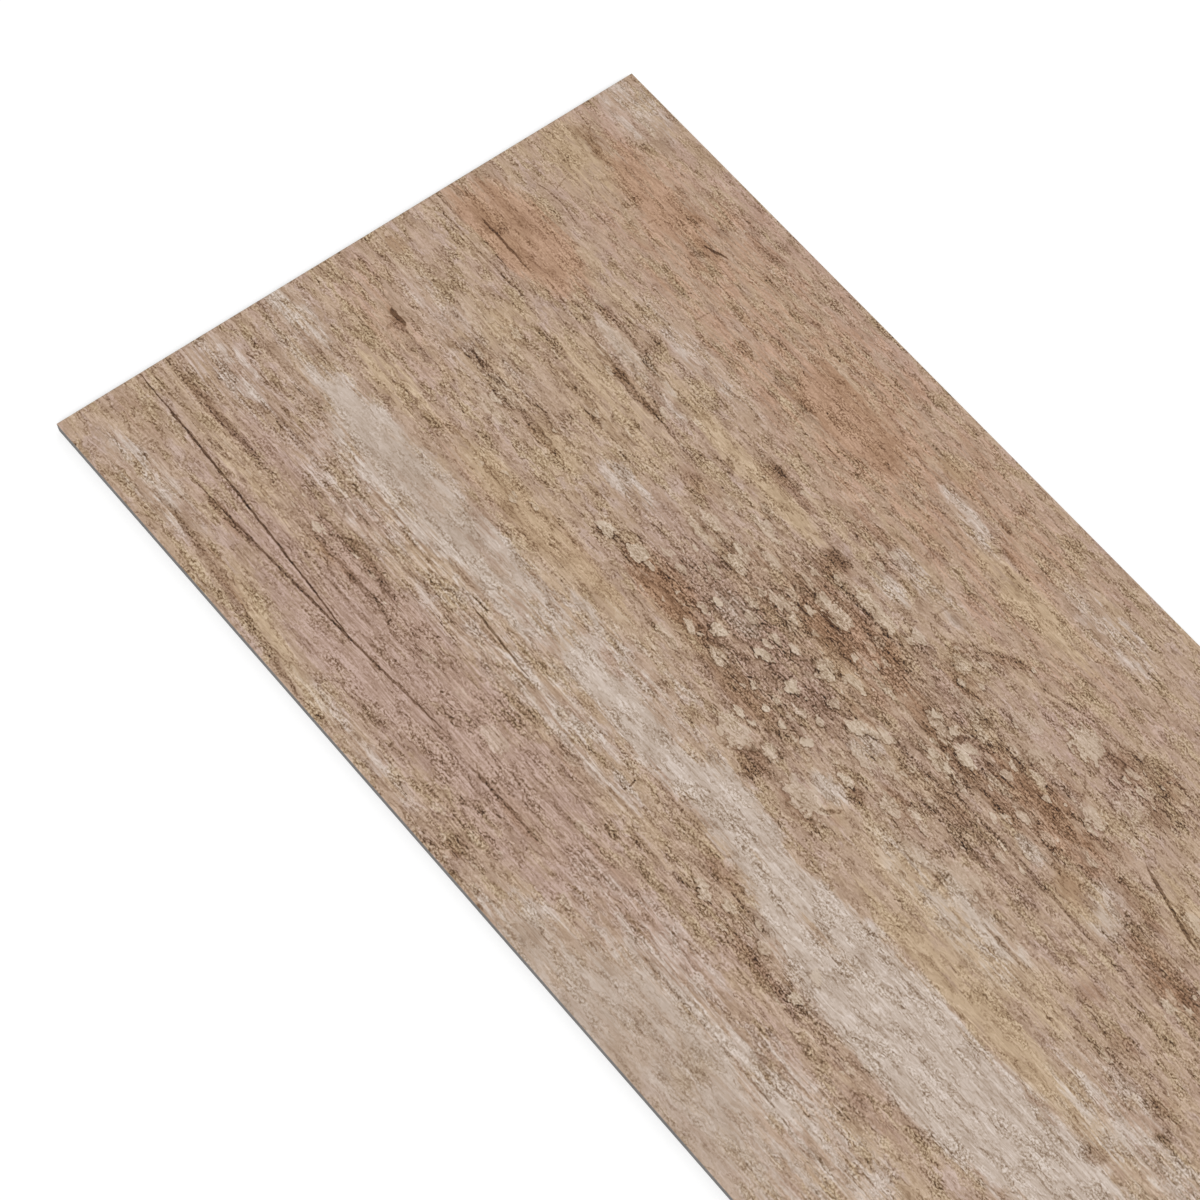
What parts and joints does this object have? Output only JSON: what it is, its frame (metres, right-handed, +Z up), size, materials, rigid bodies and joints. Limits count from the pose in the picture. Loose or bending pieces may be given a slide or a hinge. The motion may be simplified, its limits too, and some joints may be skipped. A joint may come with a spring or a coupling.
{
  "type": "vinyl floor plank",
  "caption": "Glue-down vinyl floor plank with square butt edges, a weathered wood print on its embossed face and a plain grey back.",
  "frame": {"origin": "middle of the underside, on the surface that the plank lies on", "axes": "+X along the plank, away from the end that the picture shows; +Y across it; +Z up, out of the printed face"},
  "size_m": [0.9144, 0.1524, 0.003],
  "materials": {
    "printed_vinyl": "matte"
  },
  "bodies": {
    "root": {"plank": "printed_vinyl"}
  },
  "joints": []
}
